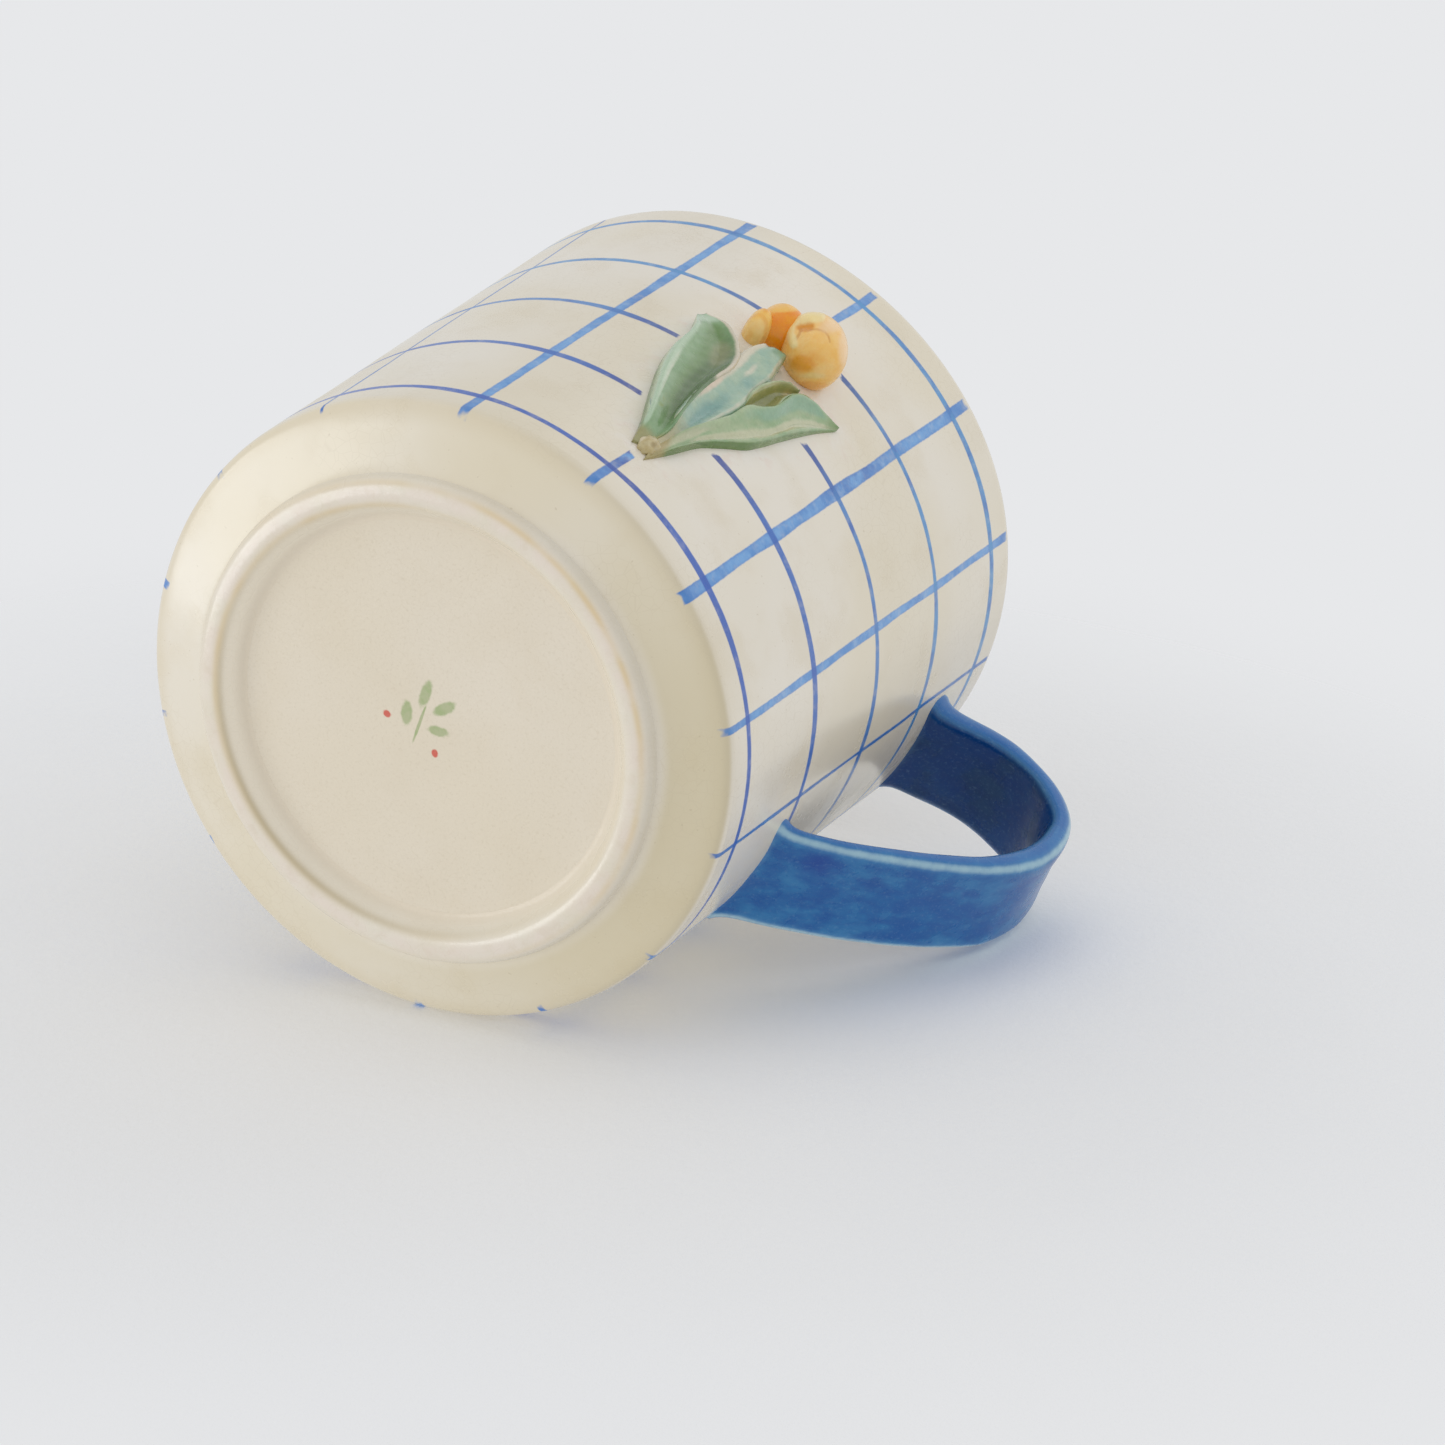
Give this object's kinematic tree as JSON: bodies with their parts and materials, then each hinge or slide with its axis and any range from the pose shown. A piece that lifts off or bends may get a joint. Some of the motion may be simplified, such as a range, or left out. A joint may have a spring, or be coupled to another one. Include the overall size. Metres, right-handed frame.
{
  "type": "mug",
  "caption": "Straight-sided stoneware mug on a low foot ring, with a wide strap handle and a tulip modelled in relief on the wall.",
  "frame": {"origin": "centre of the foot ring, on the axis of the cup, in the plane the mug stands on", "axes": "+Z from the foot to the lip, +X towards the handle, -Y towards the tulip"},
  "size_m": [0.1136, 0.0942, 0.0887],
  "materials": {
    "cream_glaze": "cream glaze over stoneware, glossy, with fine crackle and hand-painted blue grid lines on the wall",
    "foot_glaze": "cream glaze wiped thin on the foot ring, satin, with a thin golden line along each side",
    "blue_glaze": "blue glaze, glossy, breaking to pale turquoise on the edges",
    "stem_glaze": "pale blue-green glaze, glossy",
    "leaf_glaze": "leaf green glaze, glossy, pale mint on the raised edges",
    "olive_glaze": "olive glaze, glossy",
    "nub_glaze": "brown-green glaze, glossy",
    "petal_glaze": "yellow-orange glaze, glossy, brushed in swirls",
    "petal_dark_glaze": "dark orange glaze, glossy"
  },
  "bodies": {
    "root": {"cup_wall": "cream_glaze", "base_slab": "cream_glaze", "foot_ring": "foot_glaze", "handle_strap": "blue_glaze", "joint_coil_lower": "blue_glaze", "joint_coil_upper": "blue_glaze", "tulip_stem": "stem_glaze", "leaf_tall": "leaf_glaze", "leaf_low": "leaf_glaze", "leaf_curl": "olive_glaze", "root_nub": "nub_glaze", "petal_front": "petal_glaze", "petal_middle": "petal_dark_glaze", "petal_left": "petal_glaze"}
  },
  "joints": []
}
